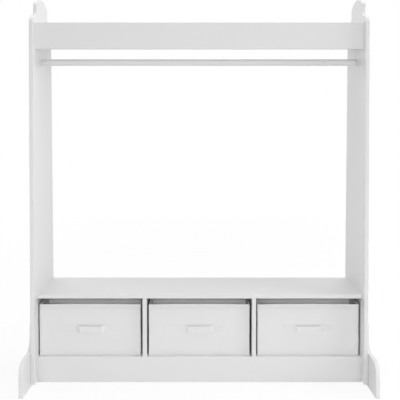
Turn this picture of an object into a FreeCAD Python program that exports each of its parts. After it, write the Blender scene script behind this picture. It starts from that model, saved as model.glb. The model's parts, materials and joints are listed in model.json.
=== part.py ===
"""Open wardrobe for a child's room: two scalloped side panels on ogee feet carry a rail, a top shelf,
a hanging rod and a bench over three fabric bins that slide out to the front.

Millimetres. The origin is on the floor under the middle of the wardrobe, +X to the right,
+Y to the back, +Z up.
"""
import FreeCAD, Part
import os
import Sketcher
from FreeCAD import Placement, Rotation, Vector

doc = FreeCAD.newDocument("kids_wardrobe")

# Driving dimensions

SIZES = {
    # side panels and their crowns
    "inner_width": 952,
    "board_thickness": 12,
    "panel_base_depth": 244,
    "panel_shoulder_depth": 220,
    "panel_floor_gap": 6,
    "shoulder_height": 1046,
    "shoulder_radius": 28,
    "crown_cove_radius": 20,
    "crown_flank_height": 19,
    "dome_rise": 20,
    "dome_corner_radius": 14,
    # ogee feet
    "foot_riser_width": 168,
    "foot_cove_radius": 34,
    "foot_ledge_flat": 44,
    "foot_end_radius": 38,
    "foot_end_height": 59,
    "foot_riser_height": 50,
    "foot_crest_radius": 24,
    # boards between the panels
    "front_setback": 32,
    "rear_setback": 8,
    "rail_setback": 20,
    "bench_height": 260,
    "bottom_shelf_height": 75,
    "rail_height": 77,
    "rail_above_shoulder": 7,
    "top_shelf_lift": 27,
    "top_shelf_rear_setback": 8,
    "edge_radius": 1.5,
    # hanging rod
    "rod_diameter": 20,
    "rod_drop": 30,
    "rod_socket_depth": 4,
    # back panel behind the bins
    "back_thickness": 3,
    "back_inset": 8.5,
    "groove_depth": 5,
    "groove_clearance": 0.2,
    # screws, caps and dowels
    "screw_shank_diameter": 4,
    "screw_shank_length": 38,
    "foot_screw_skin": 4,
    "screw_head_diameter": 8,
    "screw_head_height": 3,
    "hole_clearance": 0.1,
    "screw_edge_margin": 22,
    "rail_screw_margin": 15,
    "foot_screw_margin": 27,
    "cap_diameter": 12,
    "cap_height": 1.6,
    "cap_edge_radius": 1,
    "dowel_diameter": 6,
    "dowel_length": 19,
    "dowel_chamfer": 0.8,
    "dowel_skin": 4,
    "dowel_end_gap": 0.5,
    "dowel_end_margin": 86,
    # fabric bins
    "bin_side_gap": 4.7,
    "bin_top_gap": 20.5,
    "bin_setback": 14,
    "bin_depth": 112,
    "bin_seat_gap": 0.3,
    "bin_inner_radius": 3,
    "bin_fabric_thickness": 0.9,
    "wall_board_thickness": 2,
    "wall_board_margin": 4,
    "base_board_thickness": 3,
    "stiffener_clearance": 0.1,
    "base_board_clearance": 0.4,
    "rim_tape_width": 15,
    "rim_tape_thickness": 0.8,
    "strap_width": 19,
    "strap_thickness": 2,
    "strap_span": 80,
    "strap_tab_length": 33,
    "strap_bow": 15,
    "strap_lift": 5,
}

sheet = doc.addObject("Spreadsheet::Sheet", "Sizes")
for row, (alias, number) in enumerate(SIZES.items(), start=1):
    sheet.set(f"A{row}", alias.replace("_", " "))
    sheet.set(f"B{row}", str(number))
    sheet.setAlias(f"B{row}", alias)
doc.recompute()

# Places that follow from the driving dimensions, as expressions

half_inner = "(Sizes.inner_width / 2)"
half_outer = f"({half_inner} + Sizes.board_thickness)"
front_y = "(Sizes.front_setback - Sizes.panel_base_depth / 2)"
rear_y = "(Sizes.panel_base_depth / 2 - Sizes.rear_setback)"
behind_front_y = f"({front_y} + Sizes.board_thickness)"
half_board = "Sizes.board_thickness / 2"
plinth_middle_y = f"({front_y} + {half_board})"
rail_front_y = "(Sizes.rail_setback - Sizes.panel_shoulder_depth / 2)"
rail_rear_y = f"({rail_front_y} + Sizes.board_thickness)"
rail_middle_y = f"({rail_front_y} + {half_board})"

bench_top_z = "Sizes.bench_height"
bench_under_z = "(Sizes.bench_height - Sizes.board_thickness)"
bottom_top_z = "Sizes.bottom_shelf_height"
bottom_under_z = "(Sizes.bottom_shelf_height - Sizes.board_thickness)"
rail_top_z = "(Sizes.shoulder_height + Sizes.rail_above_shoulder)"
rail_under_z = f"({rail_top_z} - Sizes.rail_height)"
top_shelf_z = f"({rail_under_z} + Sizes.top_shelf_lift)"
top_shelf_rear_y = "(Sizes.panel_shoulder_depth / 2 - Sizes.top_shelf_rear_setback)"
rod_z = f"({rail_under_z} - Sizes.rod_drop)"

back_rear_y = f"({rear_y} - Sizes.back_inset)"
back_front_y = f"({back_rear_y} - Sizes.back_thickness)"

compartment_width = "((Sizes.inner_width - 2 * Sizes.board_thickness) / 3)"
compartment_pitch = f"({compartment_width} + Sizes.board_thickness)"
divider_x = f"({compartment_pitch} / 2)"

foot_ledge_z = "(Sizes.foot_end_height + Sizes.foot_end_radius)"
foot_cove_z = f"({foot_ledge_z} + Sizes.foot_cove_radius)"
foot_top_z = f"({foot_cove_z} + Sizes.foot_riser_height)"

hole_diameter = "(Sizes.screw_shank_diameter + 2 * Sizes.hole_clearance)"
counterbore_diameter = "(Sizes.screw_head_diameter + 2 * Sizes.hole_clearance)"
counterbore_depth = "(Sizes.screw_head_height + Sizes.hole_clearance)"
screw_reach = f"(Sizes.screw_shank_length + {counterbore_depth} - Sizes.board_thickness)"
pilot_depth = f"({screw_reach} + Sizes.dowel_end_gap)"
foot_screw_reach = "(Sizes.board_thickness - Sizes.foot_screw_skin)"
foot_screw_shank = f"({foot_screw_reach} + Sizes.board_thickness - {counterbore_depth})"

dowel_hole_diameter = "(Sizes.dowel_diameter + 2 * Sizes.hole_clearance)"
dowel_face_depth = "(Sizes.board_thickness - Sizes.dowel_skin)"
dowel_edge_depth = f"(Sizes.dowel_length + 2 * Sizes.dowel_end_gap - {dowel_face_depth})"


def value(expression):
    """The number that an expression over the sheet gives now."""
    return FreeCAD.Units.Quantity(sheet.evalExpression(expression)).Value


# Drawing and cutting, shared by all the pieces


def start_body(label):
    """An empty solid body that will be written under its label."""
    body = doc.addObject("PartDesign::Body", label)
    body.Label = label
    return body


def add_sketch(body, role, level):
    """A sketch on one of the body's own origin planes, moved along the plane's normal by level."""
    sketch = body.newObject("Sketcher::SketchObject", f"{body.Label}_sketch")
    plane = next(item for item in body.Origin.OriginFeatures if item.Role == role)
    sketch.AttachmentSupport = [(plane, "")]
    sketch.MapMode = "FlatFace"
    sketch.setExpression("AttachmentOffset.Base.z", level)
    return sketch


def bind(sketch, kind, target, expression):
    """One dimension in a sketch, tied to the sheet."""
    index = sketch.addConstraint(Sketcher.Constraint(kind, *target, value(expression)))
    sketch.setExpression(f"Constraints[{index}]", expression)


def place_point(sketch, target, across, along):
    """Ties both coordinates of a point in a sketch."""
    bind(sketch, "DistanceX", target, across)
    bind(sketch, "DistanceY", target, along)


def draw_outline(sketch, corners):
    """A closed outline. A corner is (across, along) where a straight run starts, and
    (across, along, centre_across, centre_along, radius) where an arc starts."""
    points = [Vector(value(corner[0]), value(corner[1]), 0) for corner in corners]
    starts = []
    for index, corner in enumerate(corners):
        start = points[index]
        end = points[(index + 1) % len(points)]
        if len(corner) == 2:
            edge = sketch.addGeometry(Part.LineSegment(start, end), False)
            starts.append((edge, 1, 2))
            continue
        centre = Vector(value(corner[2]), value(corner[3]), 0)
        middle = (start + end) * 0.5 - centre
        middle = centre + middle.normalize() * value(corner[4])
        edge = sketch.addGeometry(Part.Arc(start, middle, end), False)
        drawn_forward = sketch.getPoint(edge, 1).distanceToPoint(start) < start.distanceToPoint(end) / 2
        starts.append((edge, 1, 2) if drawn_forward else (edge, 2, 1))
    for index, (edge, start_end, far_end) in enumerate(starts):
        next_edge, next_start, _ = starts[(index + 1) % len(starts)]
        sketch.addConstraint(Sketcher.Constraint("Coincident", edge, far_end, next_edge, next_start))
    for (edge, start_end, _), corner in zip(starts, corners):
        place_point(sketch, (edge, start_end), corner[0], corner[1])
        if len(corner) > 2:
            bind(sketch, "Radius", (edge,), corner[4])


def draw_circle(sketch, across, along, diameter):
    """A full circle about a point."""
    centre = Vector(value(across), value(along), 0)
    circle = sketch.addGeometry(Part.Circle(centre, Vector(0, 0, 1), value(diameter) / 2), False)
    place_point(sketch, (circle, 3), across, along)
    bind(sketch, "Diameter", (circle,), diameter)


def draw_rectangle(sketch, left, right, low, high):
    """A rectangle between two pairs of sides."""
    draw_outline(sketch, [(left, low), (right, low), (right, high), (left, high)])


def draw_rounded_rectangle(sketch, left, right, low, high, radius):
    """A rectangle with four equal round corners."""
    in_left = f"({left} + {radius})"
    in_right = f"({right} - {radius})"
    in_low = f"({low} + {radius})"
    in_high = f"({high} - {radius})"
    draw_outline(
        sketch,
        [
            (in_left, low),
            (in_right, low, in_right, in_low, radius),
            (right, in_low),
            (right, in_high, in_right, in_high, radius),
            (in_right, high),
            (in_left, high, in_left, in_high, radius),
            (left, in_high),
            (left, in_low, in_left, in_low, radius),
        ],
    )


def pad(body, sketch, length, reverse=False):
    """Raises a sketch into a solid, along the plane's normal unless reversed."""
    feature = body.newObject("PartDesign::Pad", f"{body.Label}_pad")
    feature.Profile = sketch
    feature.setExpression("Length", length)
    feature.Reversed = reverse
    sketch.Visibility = False
    doc.recompute()
    return feature


def cut(body, sketch, depth, forward):
    """Cuts a sketch into the solid, along the plane's normal where forward is true."""
    volume_before = body.Shape.Volume
    feature = body.newObject("PartDesign::Pocket", f"{body.Label}_cut")
    feature.Profile = sketch
    feature.setExpression("Length", depth)
    feature.Reversed = forward
    doc.recompute()
    if not body.Shape.Volume < volume_before:
        raise RuntimeError(f"a cut in {body.Label} took nothing away")
    return feature


def drill(body, role, level, centres, diameter, depth, forward):
    """Round holes of one size and depth, all from one level."""
    sketch = add_sketch(body, role, level)
    for across, along in centres:
        draw_circle(sketch, across, along, diameter)
    return cut(body, sketch, depth, forward)


def pick_edges(feature, wanted):
    """The names of a feature's edges that wanted picks, called with each edge's bounding box."""
    edges = enumerate(feature.Shape.Edges, start=1)
    return [f"Edge{number}" for number, edge in edges if wanted(edge.BoundBox)]


def ease_edges(body, radius, wanted):
    """Rounds the edges that wanted picks."""
    base = body.Tip
    names = pick_edges(base, wanted)
    feature = body.newObject("PartDesign::Fillet", f"{body.Label}_eased")
    feature.Base = (base, names)
    feature.setExpression("Radius", radius)
    doc.recompute()
    return feature


def close(number, other):
    """Whether two coordinates are the same to a hundredth of a millimetre."""
    return abs(number - other) < 0.01


def make_board(label, x_span, y_span, z_span):
    """A plain rectangular board between three pairs of faces."""
    body = start_body(label)
    sketch = add_sketch(body, "XY_Plane", z_span[0])
    draw_rectangle(sketch, *x_span, *y_span)
    pad(body, sketch, f"{z_span[1]} - {z_span[0]}")
    return body


def make_group(label, pattern, places):
    """Copies of one fastener as a group of separate solids. A place is (x, y, z, rotation)."""
    copies = []
    for x, y, z, rotation in places:
        copy = doc.addObject("App::Link", f"{label}_copy")
        copy.LinkedObject = pattern
        copy.Placement = Placement(Vector(), rotation)
        for axis, expression in zip("xyz", (x, y, z)):
            copy.setExpression(f"Placement.Base.{axis}", expression)
        copies.append(copy)
    group = doc.addObject("Part::Compound", label)
    group.Label = label
    group.Links = copies
    doc.recompute()
    return group


nodes = []

# Where the screws go through each side panel, as (y, z) in the panel's plane

bench_screw_z = f"({bench_top_z} - {half_board})"
bottom_screw_z = f"({bottom_top_z} - {half_board})"
top_shelf_screw_z = f"({top_shelf_z} + {half_board})"
bench_screws = [
    (f"{front_y} + Sizes.screw_edge_margin", bench_screw_z),
    (f"({front_y} + {rear_y}) / 2", bench_screw_z),
    (f"{rear_y} - Sizes.screw_edge_margin", bench_screw_z),
]
top_shelf_screws = [
    (f"{rail_rear_y} + Sizes.screw_edge_margin", top_shelf_screw_z),
    (f"{top_shelf_rear_y} - Sizes.screw_edge_margin", top_shelf_screw_z),
]
rail_screws = [
    (rail_middle_y, f"{rail_under_z} + Sizes.rail_screw_margin"),
    (rail_middle_y, f"{rail_top_z} - Sizes.rail_screw_margin"),
]
rod_screw = [("0", rod_z)]
bottom_screws = [
    (f"{behind_front_y} + Sizes.screw_edge_margin", bottom_screw_z),
    (f"{rear_y} - Sizes.screw_edge_margin", bottom_screw_z),
]
plinth_screws = [
    (plinth_middle_y, "Sizes.rail_screw_margin"),
    (plinth_middle_y, f"{bottom_under_z} - Sizes.rail_screw_margin"),
]
open_screws = bench_screws + top_shelf_screws + rail_screws + rod_screw
covered_screws = bottom_screws + plinth_screws
foot_screw_y = "(Sizes.foot_riser_width / 2 - Sizes.foot_screw_margin)"
foot_screws = [
    (f"{sign}{foot_screw_y}", height)
    for sign in ("-", "")
    for height in ("Sizes.foot_screw_margin", f"{foot_top_z} - Sizes.foot_screw_margin")
]

# Side panels

shoulder_y = "(Sizes.panel_shoulder_depth / 2)"
shoulder_in_y = f"({shoulder_y} - Sizes.shoulder_radius)"
shoulder_top_z = "(Sizes.shoulder_height + Sizes.shoulder_radius)"
crown_y = f"({shoulder_in_y} - Sizes.crown_cove_radius)"
cove_top_z = f"({shoulder_top_z} + Sizes.crown_cove_radius)"
flank_top_z = f"({cove_top_z} + Sizes.crown_flank_height)"
dome_radius = f"(({crown_y} ^ 2 + Sizes.dome_rise ^ 2) / (2 * Sizes.dome_rise))"
dome_centre_z = f"({flank_top_z} + Sizes.dome_rise - {dome_radius})"

panel_outline = [
    ("-Sizes.panel_base_depth / 2", "Sizes.panel_floor_gap"),
    ("Sizes.panel_base_depth / 2", "Sizes.panel_floor_gap"),
    (shoulder_y, "Sizes.shoulder_height", shoulder_in_y, "Sizes.shoulder_height", "Sizes.shoulder_radius"),
    (shoulder_in_y, shoulder_top_z, shoulder_in_y, cove_top_z, "Sizes.crown_cove_radius"),
    (crown_y, cove_top_z),
    (crown_y, flank_top_z, "0", dome_centre_z, dome_radius),
    (f"-{crown_y}", flank_top_z),
    (f"-{crown_y}", cove_top_z, f"-{shoulder_in_y}", cove_top_z, "Sizes.crown_cove_radius"),
    (
        f"-{shoulder_in_y}",
        shoulder_top_z,
        f"-{shoulder_in_y}",
        "Sizes.shoulder_height",
        "Sizes.shoulder_radius",
    ),
    (f"-{shoulder_y}", "Sizes.shoulder_height"),
]


def make_side_panel(label, side):
    """One side panel; side is -1 on the left and 1 on the right."""
    inner_x = f"{side} * {half_inner}"
    outer_x = f"{side} * {half_outer}"
    inwards = side < 0
    body = start_body(label)
    sketch = add_sketch(body, "YZ_Plane", inner_x)
    draw_outline(sketch, panel_outline)
    pad(body, sketch, "Sizes.board_thickness", reverse=side < 0)
    dome_corner_z = value(flank_top_z)
    ease_edges(
        body,
        "Sizes.dome_corner_radius",
        lambda box: close(box.ZMin, dome_corner_z) and close(box.ZMax, dome_corner_z),
    )
    ease_edges(body, "Sizes.edge_radius", lambda box: close(box.XMin, box.XMax))
    holes = open_screws + covered_screws
    drill(body, "YZ_Plane", outer_x, holes, hole_diameter, "Sizes.board_thickness", inwards)
    drill(body, "YZ_Plane", outer_x, holes, counterbore_diameter, counterbore_depth, inwards)
    drill(body, "YZ_Plane", inner_x, foot_screws, hole_diameter, "Sizes.board_thickness", not inwards)
    drill(body, "YZ_Plane", inner_x, foot_screws, counterbore_diameter, counterbore_depth, not inwards)
    socket = "Sizes.rod_diameter + 2 * Sizes.hole_clearance"
    drill(body, "YZ_Plane", inner_x, rod_screw, socket, "Sizes.rod_socket_depth", not inwards)
    groove = add_sketch(body, "YZ_Plane", inner_x)
    draw_rectangle(
        groove,
        f"{back_front_y} - Sizes.groove_clearance",
        f"{back_rear_y} + Sizes.groove_clearance",
        f"{bottom_top_z} - Sizes.groove_depth",
        f"{bench_under_z} + Sizes.groove_depth",
    )
    cut(body, groove, "Sizes.groove_depth", not inwards)
    return body


nodes.append(make_side_panel("left_side_panel", -1))
nodes.append(make_side_panel("right_side_panel", 1))

# Feet, screwed to the outer faces of the panels

riser_y = "(Sizes.foot_riser_width / 2)"
cove_y = f"({riser_y} + Sizes.foot_cove_radius)"
ledge_y = f"({cove_y} + Sizes.foot_ledge_flat)"
foot_y = f"({ledge_y} + Sizes.foot_end_radius)"
crest_y = f"({riser_y} - Sizes.foot_crest_radius)"
crest_z = f"({foot_top_z} - Sizes.foot_crest_radius)"

foot_outline = [
    (f"-{foot_y}", "0"),
    (foot_y, "0"),
    (foot_y, "Sizes.foot_end_height", ledge_y, "Sizes.foot_end_height", "Sizes.foot_end_radius"),
    (ledge_y, foot_ledge_z),
    (cove_y, foot_ledge_z, cove_y, foot_cove_z, "Sizes.foot_cove_radius"),
    (riser_y, foot_cove_z),
    (riser_y, crest_z, crest_y, crest_z, "Sizes.foot_crest_radius"),
    (crest_y, foot_top_z),
    (f"-{crest_y}", foot_top_z, f"-{crest_y}", crest_z, "Sizes.foot_crest_radius"),
    (f"-{riser_y}", crest_z),
    (f"-{riser_y}", foot_cove_z, f"-{cove_y}", foot_cove_z, "Sizes.foot_cove_radius"),
    (f"-{cove_y}", foot_ledge_z),
    (f"-{ledge_y}", foot_ledge_z, f"-{ledge_y}", "Sizes.foot_end_height", "Sizes.foot_end_radius"),
    (f"-{foot_y}", "Sizes.foot_end_height"),
]


def make_foot(label, side):
    """One foot board; its inner face lies on the outer face of the panel."""
    face_x = f"{side} * {half_outer}"
    outwards = side > 0
    body = start_body(label)
    sketch = add_sketch(body, "YZ_Plane", face_x)
    draw_outline(sketch, foot_outline)
    pad(body, sketch, "Sizes.board_thickness", reverse=not outwards)
    floor_edge = 0
    ease_edges(
        body,
        "Sizes.edge_radius",
        lambda box: close(box.XMin, box.XMax) and not close(box.ZMax, floor_edge),
    )
    pilot = f"{foot_screw_reach} + Sizes.dowel_end_gap"
    drill(body, "YZ_Plane", face_x, foot_screws, hole_diameter, pilot, outwards)
    return body


nodes.append(make_foot("left_foot", -1))
nodes.append(make_foot("right_foot", 1))

# Boards between the panels

board_x = (f"-{half_inner}", half_inner)
dowel_reach = f"({half_inner} - Sizes.dowel_end_margin)"
dowel_row_x = [f"{third} * {dowel_reach} / 3" for third in (-3, -1, 1, 3)]


def drill_ends(body, centres, diameter, depth):
    """The same holes in both ends of a board that lies between the panels."""
    drill(body, "YZ_Plane", board_x[0], centres, diameter, depth, True)
    drill(body, "YZ_Plane", board_x[1], centres, diameter, depth, False)


def long_edges(y_wanted, z_wanted):
    """Picks a board's long edges that lie on the wanted faces."""
    y_values = [value(y) for y in y_wanted]
    z_values = [value(z) for z in z_wanted]

    def wanted(box):
        runs_across = close(box.YMin, box.YMax) and close(box.ZMin, box.ZMax)
        on_y = any(close(box.YMin, y) for y in y_values)
        on_z = any(close(box.ZMin, z) for z in z_values)
        return runs_across and on_y and on_z

    return wanted


def cut_back_groove(body, face_z, upwards):
    """The groove that one long edge of the back panel sits in."""
    sketch = add_sketch(body, "XY_Plane", face_z)
    groove_front = f"{back_front_y} - Sizes.groove_clearance"
    groove_rear = f"{back_rear_y} + Sizes.groove_clearance"
    draw_rectangle(sketch, *board_x, groove_front, groove_rear)
    cut(body, sketch, "Sizes.groove_depth", upwards)


rail = make_board("top_rail", board_x, (rail_front_y, rail_rear_y), (rail_under_z, rail_top_z))
ease_edges(rail, "Sizes.edge_radius", long_edges((rail_front_y, rail_rear_y), (rail_under_z, rail_top_z)))
drill_ends(rail, rail_screws, hole_diameter, pilot_depth)
dowel_row = [(x, top_shelf_screw_z) for x in dowel_row_x]
drill(rail, "XZ_Plane", f"-{rail_rear_y}", dowel_row, dowel_hole_diameter, dowel_face_depth, True)
nodes.append(rail)

top_shelf_span = (top_shelf_z, f"({top_shelf_z} + Sizes.board_thickness)")
top_shelf = make_board("top_shelf", board_x, (rail_rear_y, top_shelf_rear_y), top_shelf_span)
ease_edges(top_shelf, "Sizes.edge_radius", long_edges((top_shelf_rear_y,), top_shelf_span))
drill_ends(top_shelf, top_shelf_screws, hole_diameter, pilot_depth)
drill(top_shelf, "XZ_Plane", f"-{rail_rear_y}", dowel_row, dowel_hole_diameter, dowel_edge_depth, False)
nodes.append(top_shelf)

bench = make_board("bench_top", board_x, (front_y, rear_y), (bench_under_z, bench_top_z))
ease_edges(bench, "Sizes.edge_radius", long_edges((front_y, rear_y), (bench_under_z, bench_top_z)))
drill_ends(bench, bench_screws, hole_diameter, pilot_depth)
cut_back_groove(bench, bench_under_z, True)

divider_fix_y = [
    f"({front_y} + Sizes.screw_edge_margin)",
    f"({back_front_y} - Sizes.screw_edge_margin)",
]
divider_fixings = [(f"{side} * {divider_x}", y) for side in (-1, 1) for y in divider_fix_y]
drill(bench, "XY_Plane", bench_under_z, divider_fixings, dowel_hole_diameter, dowel_face_depth, True)
nodes.append(bench)

bottom = make_board("bottom_shelf", board_x, (behind_front_y, rear_y), (bottom_under_z, bottom_top_z))
ease_edges(bottom, "Sizes.edge_radius", long_edges((rear_y,), (bottom_under_z, bottom_top_z)))
drill_ends(bottom, bottom_screws, hole_diameter, pilot_depth)
cut_back_groove(bottom, bottom_top_z, False)
drill(bottom, "XY_Plane", bottom_under_z, divider_fixings, hole_diameter, "Sizes.board_thickness", True)
drill(bottom, "XY_Plane", bottom_under_z, divider_fixings, counterbore_diameter, counterbore_depth, True)
plinth_dowels = [(x, bottom_screw_z) for x in dowel_row_x]
drill(bottom, "XZ_Plane", f"-{behind_front_y}", plinth_dowels, dowel_hole_diameter, dowel_edge_depth, False)
nodes.append(bottom)

plinth = make_board("front_plinth", board_x, (front_y, behind_front_y), ("0", bottom_top_z))
ease_edges(plinth, "Sizes.edge_radius", long_edges((front_y,), ("0", bottom_top_z)))
drill_ends(plinth, plinth_screws, hole_diameter, pilot_depth)
drill(plinth, "XZ_Plane", f"-{behind_front_y}", plinth_dowels, dowel_hole_diameter, dowel_face_depth, True)
nodes.append(plinth)


def make_divider(label, side):
    """One upright board between two compartments."""
    centre_x = f"({side} * {divider_x})"
    x_span = (f"({centre_x} - {half_board})", f"({centre_x} + {half_board})")
    body = make_board(label, x_span, (front_y, back_front_y), (bottom_top_z, bench_under_z))
    divider_front = value(front_y)
    ease_edges(
        body,
        "Sizes.edge_radius",
        lambda box: close(box.XLength, 0) and close(box.YMin, divider_front) and close(box.YLength, 0),
    )
    holes = [(centre_x, y) for y in divider_fix_y]
    drill(body, "XY_Plane", bench_under_z, holes, dowel_hole_diameter, dowel_edge_depth, False)
    drill(body, "XY_Plane", bottom_top_z, holes, hole_diameter, pilot_depth, True)
    return body


nodes.append(make_divider("left_divider", -1))
nodes.append(make_divider("right_divider", 1))

# Thin back panel, held in grooves all round

groove_bottom = "(Sizes.groove_depth - Sizes.groove_clearance)"
back_panel = make_board(
    "back_panel",
    (f"(-{half_inner} - {groove_bottom})", f"({half_inner} + {groove_bottom})"),
    (back_front_y, back_rear_y),
    (f"({bottom_top_z} - {groove_bottom})", f"({bench_under_z} + {groove_bottom})"),
)
nodes.append(back_panel)

# Hanging rod, its ends seated in the panels

rod = start_body("hanging_rod")
rod_end_x = f"({half_inner} + Sizes.rod_socket_depth - Sizes.hole_clearance)"
rod_sketch = add_sketch(rod, "YZ_Plane", f"-{rod_end_x}")
draw_circle(rod_sketch, "0", rod_z, "Sizes.rod_diameter")
pad(rod, rod_sketch, f"2 * {rod_end_x}")
rod_hole_depth = f"{pilot_depth} + Sizes.rod_socket_depth"
drill(rod, "YZ_Plane", f"-{rod_end_x}", rod_screw, hole_diameter, rod_hole_depth, True)
drill(rod, "YZ_Plane", rod_end_x, rod_screw, hole_diameter, rod_hole_depth, False)
nodes.append(rod)

# Fasteners. Each pattern piece lies along +X with its seat at the origin


def add_round(body, level, diameter, length):
    """Adds a plain round length along +X, from a level on."""
    sketch = add_sketch(body, "YZ_Plane", level)
    draw_circle(sketch, "0", "0", diameter)
    pad(body, sketch, length)


def make_screw(label, shank_length):
    """A furniture screw: a flat round head, seated at x = 0, on a plain shank."""
    body = start_body(label)
    add_round(body, "-Sizes.screw_head_height", "Sizes.screw_head_diameter", "Sizes.screw_head_height")
    add_round(body, "0", "Sizes.screw_shank_diameter", shank_length)
    return body


facing_right = Rotation()
facing_left = Rotation(Vector(0, 0, 1), 180)
facing_back = Rotation(Vector(0, 0, 1), 90)
facing_up = Rotation(Vector(0, 1, 0), -90)

long_screw = make_screw("long_screw_pattern", "Sizes.screw_shank_length")
short_screw = make_screw("short_screw_pattern", foot_screw_shank)
cap = start_body("cap_pattern")
add_round(cap, "-Sizes.cap_height", "Sizes.cap_diameter", "Sizes.cap_height")
cap_front = value("-Sizes.cap_height")
ease_edges(
    cap,
    "Sizes.cap_edge_radius",
    lambda box: close(box.XMin, cap_front) and close(box.XMax, cap_front),
)
dowel = start_body("dowel_pattern")
add_round(dowel, "-Sizes.dowel_length / 2", "Sizes.dowel_diameter", "Sizes.dowel_length")
dowel_blank = dowel.Tip
dowel_rims = pick_edges(dowel_blank, lambda box: close(box.XLength, 0))
dowel_ends = dowel.newObject("PartDesign::Chamfer", "dowel_ends")
dowel_ends.Base = (dowel_blank, dowel_rims)
dowel_ends.setExpression("Size", "Sizes.dowel_chamfer")
doc.recompute()

seat_x = f"({half_outer} - {counterbore_depth})"
panel_screw_places = []
cap_places = []
foot_screw_places = []
for side, inwards, outwards in ((-1, facing_right, facing_left), (1, facing_left, facing_right)):
    for y, z in open_screws + covered_screws:
        panel_screw_places.append((f"{side} * {seat_x}", y, z, inwards))
    for y, z in open_screws:
        cap_places.append((f"{side} * {half_outer}", y, z, inwards))
    for y, z in foot_screws:
        foot_screw_places.append((f"{side} * ({half_inner} + {counterbore_depth})", y, z, outwards))
nodes.append(make_group("panel_screws", long_screw, panel_screw_places))
nodes.append(make_group("screw_caps", cap, cap_places))
nodes.append(make_group("foot_screws", short_screw, foot_screw_places))

divider_screw_z = f"({bottom_under_z} + {counterbore_depth})"
divider_screw_places = [(x, y, divider_screw_z, facing_up) for x, y in divider_fixings]
nodes.append(make_group("divider_screws", long_screw, divider_screw_places))

dowel_middle = f"(Sizes.dowel_length / 2 + Sizes.dowel_end_gap - {dowel_face_depth})"
dowel_places = [(x, y, f"{bench_under_z} - {dowel_middle}", facing_up) for x, y in divider_fixings]
for joint_y, row in ((rail_rear_y, dowel_row), (behind_front_y, plinth_dowels)):
    dowel_places += [(x, f"{joint_y} + {dowel_middle}", z, facing_back) for x, z in row]
nodes.append(make_group("wood_dowels", dowel, dowel_places))

# Fabric bins. Each is drawn about its own middle plane and then moved to its compartment

bin_half_width = f"({compartment_width} / 2 - Sizes.bin_side_gap)"
bin_front_y = f"({front_y} + Sizes.bin_setback)"
bin_rear_y = f"({bin_front_y} + Sizes.bin_depth)"
bin_floor_z = f"({bottom_top_z} + Sizes.bin_seat_gap)"
bin_top_z = f"({bench_under_z} - Sizes.bin_top_gap)"
shell_top_z = f"({bin_top_z} - Sizes.rim_tape_thickness)"
pocket_width = "(Sizes.wall_board_thickness + 2 * Sizes.stiffener_clearance)"
bin_wall = f"(2 * Sizes.bin_fabric_thickness + {pocket_width})"
tape = "Sizes.rim_tape_thickness"
rim_inset = f"({bin_wall} + Sizes.stiffener_clearance + {tape})"
bin_corner_radius = f"(Sizes.bin_inner_radius + {rim_inset})"
strap_middle_z = f"(({bin_floor_z} + {bin_top_z}) / 2 + Sizes.strap_lift)"


def bin_rectangle(inset):
    """The bin's plan, drawn in by inset all round, with the corner radius that goes with it."""
    return (
        f"(-{bin_half_width} + {inset})",
        f"({bin_half_width} - {inset})",
        f"({bin_front_y} + {inset})",
        f"({bin_rear_y} - {inset})",
        f"({bin_corner_radius} - {inset})",
    )


# The four stiffeners stand in the middle of the walls, clear of the corners
corner_keep = f"({bin_corner_radius} + Sizes.wall_board_margin)"
pocket_inset = "Sizes.bin_fabric_thickness"
pocket_far = f"({pocket_inset} + {pocket_width})"
pocket_half = f"({bin_half_width} - {corner_keep})"
pocket_front = f"({bin_front_y} + {corner_keep})"
pocket_rear = f"({bin_rear_y} - {corner_keep})"
pocket_side = f"({bin_half_width} - {pocket_inset})"
pocket_side_in = f"({bin_half_width} - {pocket_far})"
wall_pockets = [
    (f"-{pocket_half}", pocket_half, f"({bin_front_y} + {pocket_inset})", f"({bin_front_y} + {pocket_far})"),
    (f"-{pocket_half}", pocket_half, f"({bin_rear_y} - {pocket_far})", f"({bin_rear_y} - {pocket_inset})"),
    (f"-{pocket_side}", f"-{pocket_side_in}", pocket_front, pocket_rear),
    (pocket_side_in, pocket_side, pocket_front, pocket_rear),
]
pocket_floor_z = f"({bin_floor_z} + Sizes.bin_fabric_thickness)"


def make_bin_shell(label):
    """The sewn box: floor, four walls, and a pocket in each wall that is open at the top."""
    body = start_body(label)
    outer = add_sketch(body, "XY_Plane", bin_floor_z)
    draw_rounded_rectangle(outer, *bin_rectangle("0"))
    pad(body, outer, f"{shell_top_z} - {bin_floor_z}")
    cavity = add_sketch(body, "XY_Plane", shell_top_z)
    draw_rounded_rectangle(cavity, *bin_rectangle(bin_wall))
    cut(body, cavity, f"{shell_top_z} - {pocket_floor_z}", False)
    pockets = add_sketch(body, "XY_Plane", shell_top_z)
    for pocket in wall_pockets:
        draw_rectangle(pockets, *pocket)
    cut(body, pockets, f"{shell_top_z} - {pocket_floor_z}", False)
    return body


def make_bin_wall_boards(label):
    """Four cardboard stiffeners, one in each pocket, as a group of separate solids."""
    slack = "Sizes.stiffener_clearance"
    boards = []
    for left, right, front, rear in wall_pockets:
        board = doc.addObject("Part::Box", f"{label}_board")
        board.setExpression("Length", f"{right} - {left} - 2 * {slack}")
        board.setExpression("Width", f"{rear} - {front} - 2 * {slack}")
        board.setExpression("Height", f"{shell_top_z} - {pocket_floor_z} - 2 * {slack}")
        board.setExpression("Placement.Base.x", f"{left} + {slack}")
        board.setExpression("Placement.Base.y", f"{front} + {slack}")
        board.setExpression("Placement.Base.z", f"{pocket_floor_z} + {slack}")
        boards.append(board)
    group = doc.addObject("Part::Compound", label)
    group.Label = label
    group.Links = boards
    return group


def make_bin_base_board(label):
    """The stiff board that lies loose on the floor of the bin."""
    body = start_body(label)
    sketch = add_sketch(body, "XY_Plane", pocket_floor_z)
    draw_rounded_rectangle(sketch, *bin_rectangle(f"({bin_wall} + Sizes.base_board_clearance)"))
    pad(body, sketch, "Sizes.base_board_thickness")
    return body


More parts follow.
